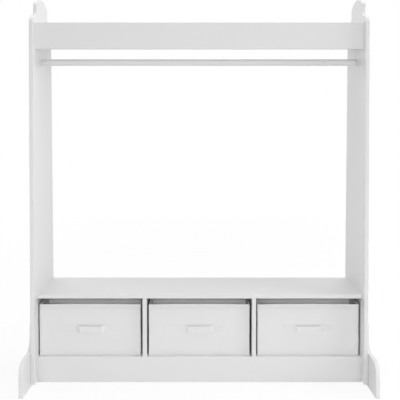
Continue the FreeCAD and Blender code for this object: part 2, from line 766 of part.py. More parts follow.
def make_bin_rim(label):
    """Binding tape folded over the top edge of the walls and sewn through."""
    body = start_body(label)
    slack = "Sizes.stiffener_clearance"
    rim_low_z = f"({bin_top_z} - Sizes.rim_tape_width)"
    ring = add_sketch(body, "XY_Plane", rim_low_z)
    draw_rounded_rectangle(ring, *bin_rectangle(f"(-{tape} - {slack})"))
    draw_rounded_rectangle(ring, *bin_rectangle(rim_inset))
    pad(body, ring, "Sizes.rim_tape_width")
    fold = add_sketch(body, "XY_Plane", rim_low_z)
    draw_rounded_rectangle(fold, *bin_rectangle(f"(-{slack})"))
    draw_rounded_rectangle(fold, *bin_rectangle(f"({bin_wall} + {slack})"))
    cut(body, fold, f"Sizes.rim_tape_width - {tape}", True)
    return body


def make_bin_handle(label):
    """A strap laid across the front of the bin: flat tabs at both ends, bowed forward between them."""
    body = start_body(label)
    thick = "Sizes.strap_thickness"
    bow = "Sizes.strap_bow"
    half_span = "(Sizes.strap_span / 2)"
    outer_span = f"({half_span} + {thick})"
    tab_end = f"({half_span} + Sizes.strap_tab_length)"
    face_y = f"({bin_front_y} - Sizes.stiffener_clearance)"
    strap_y = f"({face_y} - {thick})"
    inner_radius = f"(({half_span} ^ 2 + {bow} ^ 2) / (2 * {bow}))"
    outer_radius = f"(({outer_span} ^ 2 + {bow} ^ 2) / (2 * {bow}))"
    inner_centre_y = f"({face_y} - {bow} + {inner_radius})"
    outer_centre_y = f"({strap_y} - {bow} + {outer_radius})"
    sketch = add_sketch(body, "XY_Plane", f"{strap_middle_z} - Sizes.strap_width / 2")
    draw_outline(
        sketch,
        [
            (f"-{tab_end}", face_y),
            (f"-{tab_end}", strap_y),
            (f"-{outer_span}", strap_y, "0", outer_centre_y, outer_radius),
            (outer_span, strap_y),
            (tab_end, strap_y),
            (tab_end, face_y),
            (half_span, face_y, "0", inner_centre_y, inner_radius),
            (f"-{half_span}", face_y),
        ],
    )
    pad(body, sketch, "Sizes.strap_width")
    return body


bin_places = {
    "left": f"-{compartment_pitch}",
    "middle": "0",
    "right": compartment_pitch,
}
for place, middle_x in bin_places.items():
    pieces = [
        make_bin_shell(f"{place}_bin_shell"),
        make_bin_wall_boards(f"{place}_bin_wall_boards"),
        make_bin_base_board(f"{place}_bin_base_board"),
        make_bin_rim(f"{place}_bin_rim"),
        make_bin_handle(f"{place}_bin_handle"),
    ]
    for piece in pieces:
        piece.setExpression("Placement.Base.x", middle_x)
    nodes.extend(pieces)

# Check everything, then write one file for each piece

doc.recompute()
for item in doc.Objects:
    if "Invalid" in item.State or "Error" in item.State:
        raise RuntimeError(f"{item.Label} did not compute: {item.State}")
for node in nodes:
    if node.Shape.isNull() or not node.Shape.isValid():
        raise RuntimeError(f"{node.Label} has no valid solid")
os.makedirs("parts", exist_ok=True)
for node in nodes:
    node.Shape.exportStep(f"parts/{node.Label}.step")
    print(f"{node.Label}: {len(node.Shape.Solids)} solids, {node.Shape.Volume / 1000:.1f} cm3")
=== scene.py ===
"""Open wardrobe for a child's room: satin white boards on ogee feet, and three sewn cloth bins under a bench.

Metres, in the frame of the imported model: the origin is on the floor under the middle of the wardrobe,
+X to the right, +Y to the back, +Z up.
"""
import json
import math

import bmesh
import bpy
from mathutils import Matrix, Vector, noise

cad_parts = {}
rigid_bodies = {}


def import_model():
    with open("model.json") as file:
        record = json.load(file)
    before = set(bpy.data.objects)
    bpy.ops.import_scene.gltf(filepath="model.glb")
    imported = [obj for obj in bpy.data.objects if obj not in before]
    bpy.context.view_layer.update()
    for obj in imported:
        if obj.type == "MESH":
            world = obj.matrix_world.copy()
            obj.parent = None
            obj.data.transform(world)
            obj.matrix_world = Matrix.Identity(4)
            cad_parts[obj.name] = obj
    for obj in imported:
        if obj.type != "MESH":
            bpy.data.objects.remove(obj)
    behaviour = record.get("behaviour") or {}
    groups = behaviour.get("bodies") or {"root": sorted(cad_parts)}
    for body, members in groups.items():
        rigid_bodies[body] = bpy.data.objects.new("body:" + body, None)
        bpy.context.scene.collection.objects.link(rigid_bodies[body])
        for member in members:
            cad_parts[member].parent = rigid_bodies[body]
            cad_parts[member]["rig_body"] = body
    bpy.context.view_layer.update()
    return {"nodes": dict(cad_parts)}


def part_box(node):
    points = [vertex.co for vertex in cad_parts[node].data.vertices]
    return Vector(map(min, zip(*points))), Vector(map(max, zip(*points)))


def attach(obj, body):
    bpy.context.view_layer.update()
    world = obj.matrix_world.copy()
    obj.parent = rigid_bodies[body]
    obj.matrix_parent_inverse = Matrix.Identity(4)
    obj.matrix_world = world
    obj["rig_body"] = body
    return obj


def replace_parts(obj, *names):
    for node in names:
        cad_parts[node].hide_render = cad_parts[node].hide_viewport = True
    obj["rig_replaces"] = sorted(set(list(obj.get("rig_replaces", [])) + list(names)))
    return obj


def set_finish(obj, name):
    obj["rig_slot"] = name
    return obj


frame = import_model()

bpy.ops.object.select_all(action="DESELECT")

# Side panels
# Two tall fibreboard panels with scalloped crowns. The outline is cut on a router and rounded over,
# then the board is primed, sanded and sprayed satin white. Screws hold it to the boards between.

paint_white = (0.745, 0.745, 0.745, 1.0)
paint_thin_white = (0.725, 0.725, 0.725, 1.0)
paint_rubbed_white = (0.71, 0.71, 0.71, 1.0)
paint_roughness = (0.42, 0.54)
paint_specular = 0.5
peel_depth = 0.00004
rubbed_share = 0.6
film_patterns = {"Tone": (2.2, 3.0), "Gloss": (26.0, 4.0), "Height": (420.0, 1.5)}
rub_scale = 55.0
rub_detail = 3.0
rub_patches = (0.3, 0.7)
least_rub = 0.35
full_slant = 0.25


def feed(tree, socket, source):
    """Sets a socket to a plain value, or links another node's output to it."""
    if isinstance(source, bpy.types.NodeSocket):
        tree.links.new(source, socket)
    else:
        socket.default_value = source


def add_node(tree, kind, inputs=None, **settings):
    """A new node with its settings made, and its inputs set or linked by name."""
    node = tree.nodes.new(kind)
    for name, setting in settings.items():
        setattr(node, name, setting)
    for name, source in (inputs or {}).items():
        feed(tree, node.inputs[name], source)
    return node


def calculate(tree, operation, *sources):
    """One step of arithmetic on values or sockets."""
    node = add_node(tree, "ShaderNodeMath", operation=operation)
    for socket, source in zip(node.inputs, sources):
        feed(tree, socket, source)
    return node.outputs["Value"]


def fit_range(tree, source, low, high, start=0.0, end=1.0):
    """Brings a value that runs from start to end into the range from low to high."""
    ends = {"Value": source, "From Min": start, "From Max": end, "To Min": low, "To Max": high}
    return add_node(tree, "ShaderNodeMapRange", ends).outputs["Result"]


def blend_colours(tree, share, first, second):
    """A colour between two others, by share."""
    node = add_node(tree, "ShaderNodeMix", data_type="RGBA")
    sources = {"Factor_Float": share, "A_Color": first, "B_Color": second}
    for socket in node.inputs:
        if socket.identifier in sources:
            feed(tree, socket, sources[socket.identifier])
    return next(socket for socket in node.outputs if socket.identifier == "Result_Color")


def start_group(name, inputs, outputs):
    """An empty shader group with named sockets, and its two end nodes."""
    group = bpy.data.node_groups.new(name, "ShaderNodeTree")
    for socket_name, kind in inputs.items():
        group.interface.new_socket(socket_name, in_out="INPUT", socket_type=kind)
    for socket_name in outputs:
        group.interface.new_socket(socket_name, in_out="OUTPUT", socket_type="NodeSocketFloat")
    return group, group.nodes.new("NodeGroupInput"), group.nodes.new("NodeGroupOutput")


def make_sprayed_film():
    """Sprayed paint: slow unevenness of tone, patches of more and less gloss, and a fine orange peel."""
    group, entry, result = start_group("sprayed_film", {"Position": "NodeSocketVector"}, film_patterns)
    for output, (scale, detail) in film_patterns.items():
        inputs = {"Vector": entry.outputs["Position"], "Scale": scale, "Detail": detail}
        pattern = add_node(group, "ShaderNodeTexNoise", inputs)
        feed(group, result.inputs[output], pattern.outputs["Fac"])
    return group


def make_rounded_edge():
    """How far a surface slants between a board's faces: 0 on the flats and 1 on the round of an edge.
    Square is 1 for a board with square corners and 0 for a curved outline."""
    sockets = {"Position": "NodeSocketVector", "Square": "NodeSocketFloat"}
    group, entry, result = start_group("rounded_edge", sockets, ("Rubbed",))
    normal = add_node(group, "ShaderNodeTexCoord").outputs["Normal"]
    parts = add_node(group, "ShaderNodeSeparateXYZ", {"Vector": normal})
    across, along, up = (calculate(group, "MULTIPLY", part, part) for part in parts.outputs)
    outline = calculate(group, "MULTIPLY", across, calculate(group, "ADD", along, up))
    corner = calculate(group, "MULTIPLY", calculate(group, "MULTIPLY", along, up), entry.outputs["Square"])
    slant = fit_range(group, calculate(group, "ADD", outline, corner), 0.0, 1.0, end=full_slant)
    rub_inputs = {"Vector": entry.outputs["Position"], "Scale": rub_scale, "Detail": rub_detail}
    rubbing = add_node(group, "ShaderNodeTexNoise", rub_inputs)
    patchy = fit_range(group, rubbing.outputs["Fac"], least_rub, 1.0, *rub_patches)
    feed(group, result.inputs["Rubbed"], calculate(group, "MULTIPLY", slant, patchy))
    return group


def start_material(name, specular):
    """A new material, its node tree and its surface shader."""
    material = bpy.data.materials.new(name)
    material.use_nodes = True
    surface = material.node_tree.nodes["Principled BSDF"]
    surface.inputs["Specular IOR Level"].default_value = specular
    return material, material.node_tree, surface


def raise_surface(tree, surface, height, depth):
    """Gives a surface its fine relief, depth metres from its lowest to its highest."""
    bump = add_node(tree, "ShaderNodeBump", {"Strength": 1.0, "Distance": depth, "Height": height})
    feed(tree, surface.inputs["Normal"], bump.outputs["Normal"])


sprayed_film = make_sprayed_film()
rounded_edge = make_rounded_edge()


def make_board_paint(name, square):
    """Satin white paint on board, a little thinner in places and rubbed along the rounded edges."""
    material, tree, surface = start_material(name, paint_specular)
    position = add_node(tree, "ShaderNodeTexCoord").outputs["Object"]
    film = add_node(tree, "ShaderNodeGroup", {"Position": position}, node_tree=sprayed_film).outputs
    edge_inputs = {"Position": position, "Square": square}
    edge = add_node(tree, "ShaderNodeGroup", edge_inputs, node_tree=rounded_edge).outputs
    tone = blend_colours(tree, film["Tone"], paint_thin_white, paint_white)
    rubbed = calculate(tree, "MULTIPLY", edge["Rubbed"], rubbed_share)
    feed(tree, surface.inputs["Base Color"], blend_colours(tree, rubbed, tone, paint_rubbed_white))
    feed(tree, surface.inputs["Roughness"], fit_range(tree, film["Gloss"], *paint_roughness))
    raise_surface(tree, surface, film["Height"], peel_depth)
    return material


def dress(node_name, material):
    """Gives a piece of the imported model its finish."""
    mesh = frame["nodes"][node_name].data
    mesh.materials.clear()
    mesh.materials.append(material)


outline_paint = make_board_paint("outline_paint", square=0.0)
for side in ("left", "right"):
    dress(f"{side}_side_panel", outline_paint)

# Feet
# Two ogee boards of the same painted fibreboard, screwed from inside to the outer faces of the panels.
# They stand on the floor and keep the tall panels from tipping.

for side in ("left", "right"):
    dress(f"{side}_foot", outline_paint)

# Boards between the panels
# Square boards of the same fibreboard, rounded over on their long edges and sprayed with the panels:
# the top rail and the shelf behind it, the bench, two dividers, the bottom shelf and the plinth.

board_paint = make_board_paint("board_paint", square=1.0)
for board in (
    "top_rail",
    "top_shelf",
    "bench_top",
    "left_divider",
    "right_divider",
    "bottom_shelf",
    "front_plinth",
):
    dress(board, board_paint)

# Back panel
# A thin sheet of hardboard in grooves behind the bins. It is faced white on both sides, and the rear
# keeps the mark of the wire screen that it was pressed on.

hardboard_white = (0.72, 0.72, 0.72, 1.0)
hardboard_grey = (0.66, 0.66, 0.66, 1.0)
hardboard_roughness = (0.55, 0.7)
hardboard_specular = 0.3
screen_pitch = 0.0016
screen_depth = 0.00018
fibre_scale = 160.0
fibre_detail = 5.0


def make_hardboard():
    """White faced hardboard with a screen mark on the side that looks to the back."""
    material, tree, surface = start_material("white_hardboard", hardboard_specular)
    coordinates = add_node(tree, "ShaderNodeTexCoord").outputs
    position = coordinates["Object"]
    screen = add_node(
        tree,
        "ShaderNodeTexVoronoi",
        {"Vector": position, "Scale": 1.0 / screen_pitch, "Randomness": 0.0},
        feature="F1",
    )
    looks_back = add_node(tree, "ShaderNodeSeparateXYZ", {"Vector": coordinates["Normal"]}).outputs["Y"]
    on_rear = fit_range(tree, looks_back, 0.0, 1.0)
    fibre_inputs = {"Vector": position, "Scale": fibre_scale, "Detail": fibre_detail}
    fibres = add_node(tree, "ShaderNodeTexNoise", fibre_inputs).outputs["Fac"]
    colour = blend_colours(tree, fibres, hardboard_grey, hardboard_white)
    feed(tree, surface.inputs["Base Color"], colour)
    feed(tree, surface.inputs["Roughness"], fit_range(tree, fibres, *hardboard_roughness))
    mark = calculate(tree, "MULTIPLY", screen.outputs["Distance"], on_rear)
    raise_surface(tree, surface, mark, screen_depth)
    return material


dress("back_panel", make_hardboard())

# Hanging rod
# A round rod, sprayed white like the boards but over a smoother ground. Its ends sit in sockets in the
# panels and one screw holds each end.

rod_white = (0.755, 0.755, 0.755, 1.0)
rod_shade_white = (0.725, 0.725, 0.725, 1.0)
rod_roughness = (0.34, 0.44)
rod_peel_depth = 0.00002


def make_rod_paint():
    """Satin paint on the rod, with a finer peel than on the boards."""
    material, tree, surface = start_material("rod_paint", paint_specular)
    position = add_node(tree, "ShaderNodeTexCoord").outputs["Object"]
    film = add_node(tree, "ShaderNodeGroup", {"Position": position}, node_tree=sprayed_film).outputs
    feed(tree, surface.inputs["Base Color"], blend_colours(tree, film["Tone"], rod_shade_white, rod_white))
    feed(tree, surface.inputs["Roughness"], fit_range(tree, film["Gloss"], *rod_roughness))
    raise_surface(tree, surface, film["Height"], rod_peel_depth)
    return material


dress("hanging_rod", make_rod_paint())

# Screws, caps and dowels
# Zinc plated furniture screws in counterbores, white moulded caps over the heads that stay outside, and
# plain beech dowels that line the boards up.

zinc_bright = (0.62, 0.62, 0.61, 1.0)
zinc_dull = (0.48, 0.48, 0.49, 1.0)
zinc_roughness = (0.28, 0.45)
plating_scale = 900.0
cap_white = (0.76, 0.76, 0.76, 1.0)
cap_cloudy_white = (0.73, 0.73, 0.73, 1.0)
cap_roughness = (0.36, 0.48)
cap_grain_scale = 1400.0
cap_grain_depth = 0.00002
cap_specular = 0.45
beech_light = (0.62, 0.46, 0.3, 1.0)
beech_dark = (0.5, 0.35, 0.21, 1.0)
beech_roughness = (0.6, 0.75)
beech_grain_scale = 320.0
grain_depth = 0.00004
grain_detail = 4.0
steel_specular = 0.5


def make_grained(name, specular, scale, colours, roughness, depth):
    """A plain material with one fine grain in its colour, its gloss and its relief."""
    material, tree, surface = start_material(name, specular)
    position = add_node(tree, "ShaderNodeTexCoord").outputs["Object"]
    grain_inputs = {"Vector": position, "Scale": scale, "Detail": grain_detail}
    grain = add_node(tree, "ShaderNodeTexNoise", grain_inputs).outputs["Fac"]
    feed(tree, surface.inputs["Base Color"], blend_colours(tree, grain, *colours))
    feed(tree, surface.inputs["Roughness"], fit_range(tree, grain, *roughness))
    raise_surface(tree, surface, grain, depth)
    return material, surface


zinc, zinc_surface = make_grained(
    "zinc_plated_steel", steel_specular, plating_scale, (zinc_dull, zinc_bright), zinc_roughness, grain_depth
)
zinc_surface.inputs["Metallic"].default_value = 1.0
for screws in ("panel_screws", "foot_screws", "divider_screws"):
    dress(screws, zinc)
cap_whites = (cap_cloudy_white, cap_white)
cap_plastic, _ = make_grained(
    "cap_plastic", cap_specular, cap_grain_scale, cap_whites, cap_roughness, cap_grain_depth
)
dress("screw_caps", cap_plastic)
beech, _ = make_grained(
    "beech", paint_specular, beech_grain_scale, (beech_dark, beech_light), beech_roughness, grain_depth
)
dress("wood_dowels", beech)

# Bin shells
# Each bin is a box sewn from white non-woven cloth over grey board stiffeners, with a lining inside.
# The lining is painted a brighter white than the outer cloth: painted light that lifts the dim insides.
# The walls swell a little between their seams, and the bottom seam is tucked in by long shallow waves.

bins = ("left", "middle", "right")
across_axis, along_axis, up_axis = range(3)
wall_thickness = 0.004
corner_radius = 0.0015
corner_steps = 3
bottom_radius = 0.0005
bottom_steps = 2
bottom_settle = 0.0002
cloth_grid = 0.004
rim_round = 0.0011
rim_steps = 3
sharp_fold = math.radians(60.0)
straight_share = 0.999
upward = 0.5
front_swell = 0.0022
side_bows = {"left": (0.0004, -0.0008), "middle": (0.0002, -0.0012), "right": (0.0002, -0.0006)}
side_shifts = {"left": (-0.0016, -0.0022), "middle": (0.0002, -0.001), "right": (0.0005, 0.0004)}
rim_rise = 0.0016
rim_rise_power = 4
tuck_depth = 0.001
tuck_length = 0.115
tuck_reach = 0.009
tuck_end_power = 4
tuck_starts = {"left": 0.046, "middle": 0.036, "right": 0.038}
pucker_depth = 0.0003
pucker_length = 0.046
pucker_reach = 0.016
pucker_end_power = 8
crumple_size = 0.032
crumple_depth = 0.0007
seam_dent = 0.0006
seam_width = 0.003
cloth_white = (0.795, 0.795, 0.795, 1.0)
cloth_shade = (0.755, 0.755, 0.755, 1.0)
# The lining's brighter white is painted light that lifts the dim insides of the bins.
lining_painted_light_white = (0.9, 0.9, 0.9, 1.0)
lining_painted_light_grey = (0.86, 0.86, 0.86, 1.0)
cloth_roughness = (0.78, 0.92)
cloth_specular = 0.2
cloth_sheen = 0.12
bond_pitch = 0.0017
bond_depth = 0.00012
bond_turn = math.pi / 4
bond_edge = (0.15, 0.4)
fuzz_scale = 900.0
fuzz_detail = 6.0
fuzz_share = 0.35
cloth_map = "cloth"


def add_block(name, low, high):
    """A plain block between two corners, as a start for a piece."""
    bpy.ops.object.select_all(action="DESELECT")
    bpy.ops.mesh.primitive_cube_add(size=1.0, location=(low + high) / 2, scale=high - low)
    bpy.ops.object.transform_apply(location=True, rotation=True, scale=True)
    piece = bpy.context.active_object
    piece.name = name
    piece.data.name = name
    return piece


def pick(piece, kind, wanted):
    """In edit mode, selects only the edges or faces of a mesh that wanted picks: kind is EDGE or FACE."""
    bpy.ops.mesh.select_mode(type=kind)
    bpy.ops.mesh.select_all(action="DESELECT")
    mesh = bmesh.from_edit_mesh(piece.data)
    parts = {"EDGE": mesh.edges, "FACE": mesh.faces}[kind]
    for part in parts:
        if wanted(part):
            part.select_set(True)
    bmesh.update_edit_mesh(piece.data)


def runs_along(edge, axis):
    """Whether an edge lies straight along an axis."""
    run = edge.verts[1].co - edge.verts[0].co
    return abs(run[axis]) > straight_share * run.length


def apply_modifier(piece, kind, **settings):
    """Adds a modifier, makes its settings and applies it."""
    modifier = piece.modifiers.new(kind.lower(), kind)
    for name, setting in settings.items():
        setattr(modifier, name, setting)
    bpy.context.view_layer.objects.active = piece
    bpy.ops.object.modifier_apply(modifier=modifier.name)


def map_cloth(piece):
    """Lays a cloth pattern flat on every side of a piece, one unit to the metre, and smooths its folds."""
    bpy.ops.object.select_all(action="DESELECT")
    piece.select_set(True)
    bpy.context.view_layer.objects.active = piece
    while piece.data.uv_layers:
        piece.data.uv_layers.remove(piece.data.uv_layers[0])
    piece.data.uv_layers.new(name=cloth_map)
    bpy.ops.object.mode_set(mode="EDIT")
    bpy.ops.mesh.select_all(action="SELECT")
    bpy.ops.uv.cube_project(cube_size=1.0, correct_aspect=False)
    bpy.ops.object.mode_set(mode="OBJECT")
    bpy.ops.object.shade_smooth()
    apply_modifier(piece, "WEIGHTED_NORMAL")


def make_bonded_web():
    """Non-woven cloth: a lattice of small bonded dots, and loose fibres between them."""
    group, entry, result = start_group("bonded_web", {"Cloth": "NodeSocketVector"}, ("Fibres", "Height"))
    cloth = entry.outputs["Cloth"]
    turned = add_node(group, "ShaderNodeMapping", {"Vector": cloth, "Rotation": (0.0, 0.0, bond_turn)})
    dots = add_node(
        group,
        "ShaderNodeTexVoronoi",
        {"Vector": turned.outputs["Vector"], "Scale": 1.0 / bond_pitch, "Randomness": 0.0},
        voronoi_dimensions="2D",
    )
    fuzz_inputs = {"Vector": cloth, "Scale": fuzz_scale, "Detail": fuzz_detail}
    fuzz = add_node(group, "ShaderNodeTexNoise", fuzz_inputs)
    puffed = fit_range(group, dots.outputs["Distance"], 0.0, 1.0, *bond_edge)
    loose = calculate(group, "MULTIPLY", fuzz.outputs["Fac"], fuzz_share)
    feed(group, result.inputs["Fibres"], fuzz.outputs["Fac"])
    feed(group, result.inputs["Height"], calculate(group, "ADD", puffed, loose))
    return group


bonded_web = make_bonded_web()


def make_cloth(name, colours):
    """White non-woven cloth."""
    material, tree, surface = start_material(name, cloth_specular)
    surface.inputs["Sheen Weight"].default_value = cloth_sheen
    cloth = add_node(tree, "ShaderNodeUVMap", uv_map=cloth_map).outputs["UV"]
    web = add_node(tree, "ShaderNodeGroup", {"Cloth": cloth}, node_tree=bonded_web).outputs
    feed(tree, surface.inputs["Base Color"], blend_colours(tree, web["Fibres"], *colours))
    feed(tree, surface.inputs["Roughness"], fit_range(tree, web["Fibres"], *cloth_roughness))
    raise_surface(tree, surface, web["Height"], bond_depth)
    return material


bin_cloth = make_cloth("bin_cloth", (cloth_shade, cloth_white))
lining_cloth_painted_light = make_cloth("lining_cloth_painted_light", (lining_painted_light_grey, lining_painted_light_white))


def cut_box(name, low, high):
    """The open box before it is filled: round corners, marked as seams, and a fine grid of cloth."""
    piece = add_block(name, low, high)
    bpy.ops.object.mode_set(mode="EDIT")
    pick(piece, "FACE", lambda face: face.normal.z > upward)
    bpy.ops.mesh.delete(type="FACE")
    pick(piece, "EDGE", lambda edge: runs_along(edge, up_axis))
    bpy.ops.mesh.bevel(offset=corner_radius, segments=corner_steps, affect="EDGES")
    floor_level = low.z + bottom_radius / 2
    pick(piece, "EDGE", lambda edge: edge.is_manifold and all(v.co.z < floor_level for v in edge.verts))
    bpy.ops.mesh.bevel(offset=bottom_radius, segments=bottom_steps, affect="EDGES")
    for axis, length in enumerate(high - low):
        pick(piece, "EDGE", lambda edge: runs_along(edge, axis))
        bpy.ops.mesh.subdivide(number_cuts=round(length / cloth_grid))
    pick(piece, "EDGE", lambda edge: not any(runs_along(edge, axis) for axis in range(3)))
    bpy.ops.mesh.mark_seam()
    bpy.ops.object.mode_set(mode="OBJECT")
    return piece


def fill_box(piece, place, low, high):
    """Moves the cloth as a filled, handled bin has it: swollen walls, a wavy bottom seam, soft crumples."""
    middle = (low + high) / 2
    half = (high - low) / 2
    left_bow, right_bow = side_bows[place]
    left_shift, right_shift = side_shifts[place]
    tightness = 1.0 / crumple_size
    rest = [(vertex.co.copy(), vertex.normal.copy()) for vertex in piece.data.vertices]
    for vertex, (spot, normal) in zip(piece.data.vertices, rest):
        across = (spot.x - middle.x) / half.x
        along = (spot.y - middle.y) / half.y
        height = (spot.z - low.z) / (high.z - low.z)
        belly = math.sin(math.pi * height)
        front = normal.y ** 2 * math.cos(across * math.pi / 2)
        flank = normal.x ** 2 * math.cos(along * math.pi / 2)
        swell = belly * (front * front_swell + flank * (left_bow if across < 0 else right_bow))
        run = spot.x if abs(normal.y) > abs(normal.x) else spot.y
        fade = math.exp(-(spot.z - low.z) / pucker_reach)
        pucker = pucker_depth * fade * math.sin(math.tau * (run - tuck_starts[place]) / pucker_length)
        upright = 1.0 - normal.z ** 2
        crumple = crumple_depth * upright * noise.noise((spot + Vector((middle.x, 0.0, 0.0))) * tightness)
        corner_gap = math.hypot(half.x - abs(spot.x - middle.x), half.y - abs(spot.y - middle.y))
        seam = seam_dent * upright * math.exp(-((corner_gap / seam_width) ** 2))
        moved = spot + normal * (swell + pucker * upright * (1 - along ** pucker_end_power) + crumple - seam)
        edge_gap = math.hypot(spot.y - low.y, spot.z - low.z)
        wave = 0.5 - 0.5 * math.cos(math.tau * (spot.x - low.x - tuck_starts[place]) / tuck_length)
        moved.y += tuck_depth * wave * (1 - across ** tuck_end_power) * math.exp(-edge_gap / tuck_reach)
        moved.x += left_shift * (1 - across) / 2 + right_shift * (1 + across) / 2
        moved.z += rim_rise * height ** rim_rise_power * math.cos(across * math.pi / 2)
        moved.z -= bottom_settle * (1 - height)
        vertex.co = moved
    piece.data.update()


def is_rim(edge, top):
    """Whether an edge is where a wall turns over into the rim."""
    near_top = all(vertex.co.z > top - rim_round for vertex in edge.verts)
    return near_top and edge.is_manifold and edge.calc_face_angle() > sharp_fold


shells = {}
for place in bins:
    shell_low, shell_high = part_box(f"{place}_bin_shell")
    shell = cut_box(f"{place}_bin_cloth", shell_low, shell_high)
    fill_box(shell, place, shell_low, shell_high)
    shell.data.materials.append(bin_cloth)
    shell.data.materials.append(lining_cloth_painted_light)
    outer_count = len(shell.data.vertices)
    apply_modifier(shell, "SOLIDIFY", thickness=wall_thickness, offset=-1.0, material_offset=1)
    bpy.ops.object.mode_set(mode="EDIT")
    pick(shell, "EDGE", lambda edge: edge.seam and all(v.index >= outer_count for v in edge.verts))
    bpy.ops.mesh.edge_collapse()
    pick(shell, "EDGE", lambda edge: is_rim(edge, shell_high.z))
    bpy.ops.mesh.bevel(offset=rim_round, segments=rim_steps, affect="EDGES")
    bpy.ops.object.mode_set(mode="OBJECT")
    map_cloth(shell)
    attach(shell, f"{place}_bin")
    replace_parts(shell, f"{place}_bin_shell", f"{place}_bin_wall_boards")
    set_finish(shell, "bin_fabric")
    shells[place] = shell

# Bin floor boards
# A stiff board wrapped in the lining cloth lies loose in each bin. It keeps the floor flat, and it lifts
# out when the bin is folded away.

wrap_round = 0.0012
wrap_steps = 3
wrap_grid = 0.012
wrap_crown = 0.0006
wrap_corner = 0.004

for place in bins:
    board_low, board_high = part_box(f"{place}_bin_base_board")
    middle = (board_low + board_high) / 2
    half = (board_high - board_low) / 2
    wrapped = add_block(f"{place}_bin_floor_board", board_low, board_high)
    bpy.ops.object.mode_set(mode="EDIT")
    pick(wrapped, "EDGE", lambda edge: runs_along(edge, up_axis))
    bpy.ops.mesh.bevel(offset=wrap_corner, segments=wrap_steps, affect="EDGES")
    pick(wrapped, "EDGE", lambda edge: edge.calc_face_angle() > sharp_fold)
    bpy.ops.mesh.bevel(offset=wrap_round, segments=wrap_steps, affect="EDGES")
    for axis in (across_axis, along_axis):
        pick(wrapped, "EDGE", lambda edge: runs_along(edge, axis))
        bpy.ops.mesh.subdivide(number_cuts=round(2 * half[axis] / wrap_grid))
    bpy.ops.object.mode_set(mode="OBJECT")
    for vertex in wrapped.data.vertices:
        across = (vertex.co.x - middle.x) / half.x
        along = (vertex.co.y - middle.y) / half.y
        if vertex.co.z > middle.z:
            vertex.co.z += wrap_crown * (1 - across ** 2) * (1 - along ** 2)
    map_cloth(wrapped)
    # The lining cloth on the board carries the same painted light as the insides of the shells.
    wrapped.data.materials.append(lining_cloth_painted_light)
    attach(wrapped, f"{place}_bin")
    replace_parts(wrapped, f"{place}_bin_base_board")
    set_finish(wrapped, "bin_fabric")

# Bin hems
# A strip of the same cloth is folded over the rim of each bin, where it covers the raw edges of the shell
# and its lining. It is sewn through near its lower edge. Its colours are a little darker than the bin cloth:
# painted shade where the bench overhangs the bins.

hem_width = 0.015
hem_thickness = 0.00015
hem_lift = 0.00005
# Darker than the bin cloth: painted shade under the bench, on the same cloth.
hem_painted_shade_white = (0.765, 0.765, 0.765, 1.0)
hem_painted_shade_grey = (0.73, 0.73, 0.73, 1.0)
hem_cloth_painted_shade = make_cloth("hem_cloth_painted_shade", (hem_painted_shade_grey, hem_painted_shade_white))

hems = {}
for place in bins:
    shell = shells[place]
    hem_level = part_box(f"{place}_bin_shell")[1].z - hem_width
    bpy.ops.object.select_all(action="DESELECT")
    shell.select_set(True)
    bpy.context.view_layer.objects.active = shell
    bpy.ops.object.mode_set(mode="EDIT")
    pick(shell, "FACE", lambda face: face.calc_center_median().z > hem_level)
    bpy.ops.mesh.duplicate()
    bpy.ops.transform.shrink_fatten(value=hem_lift)
    bpy.ops.mesh.separate(type="SELECTED")
    bpy.ops.object.mode_set(mode="OBJECT")
    hem = next(piece for piece in bpy.context.selected_objects if piece is not shell)
    hem.name = f"{place}_bin_hem"
    hem.data.name = hem.name
    # Cut from the shell, the strip starts with the shell's labels and sheds them.
    hem.parent = None
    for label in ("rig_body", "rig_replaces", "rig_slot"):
        del hem[label]
    apply_modifier(hem, "SOLIDIFY", thickness=hem_thickness, offset=1.0)
    hem.data.materials.clear()
    for face in hem.data.polygons:
        face.material_index = 0
    map_cloth(hem)
    hem.data.materials.append(hem_cloth_painted_shade)
    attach(hem, f"{place}_bin")
    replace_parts(hem, f"{place}_bin_rim")
    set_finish(hem, "bin_binding")
    hems[place] = hem

# Bin handles
# A strap of white webbing is laid across the front of each bin. Both ends are sewn down flat, and the
# middle stands off the cloth to let fingers in. It keeps only part of the bow it is sewn with, and sags.

strap_rows = 10
strap_columns = 96
bend_start = 0.042
bend_end = 0.031
strap_edge_round = 0.0005
strap_edge_steps = 2
strap_cup = 0.0004
strap_sag = 0.0025
strap_kept_bow = 0.36
strap_white = (0.82, 0.82, 0.82, 1.0)
strap_shade = (0.77, 0.77, 0.77, 1.0)
strap_roughness = (0.66, 0.84)
weave_pitches = {"X": 0.0016, "Y": 0.00112}
wave_rate = 20.0
rib_depth = 0.0002
strap_thickness = 0.002


def make_webbing():
    """Flat woven webbing: ribs across the strap, each crossed by fine threads. The wave pattern turns by
    wave_rate radians to each unit of its scale."""
    material, tree, surface = start_material("strap_webbing", cloth_specular)
    cloth = add_node(tree, "ShaderNodeUVMap", uv_map=cloth_map).outputs["UV"]
    ways = [
        add_node(
            tree,
            "ShaderNodeTexWave",
            {"Vector": cloth, "Scale": math.tau / (wave_rate * pitch)},
            bands_direction=direction,
        ).outputs["Fac"]
        for direction, pitch in weave_pitches.items()
    ]
    weave = calculate(tree, "MULTIPLY", *ways)
    feed(tree, surface.inputs["Base Color"], blend_colours(tree, weave, strap_shade, strap_white))
    feed(tree, surface.inputs["Roughness"], fit_range(tree, weave, *strap_roughness))
    raise_surface(tree, surface, weave, rib_depth)
    return material


strap_webbing = make_webbing()


def strap_stand(offset, bow):
    """How far the strap stands off the cloth, at an offset along it from its middle."""
    share = (bend_start - abs(offset)) / (bend_start - bend_end)
    share = min(1.0, max(0.0, share))
    return bow * share ** 2 * (3 - 2 * share)


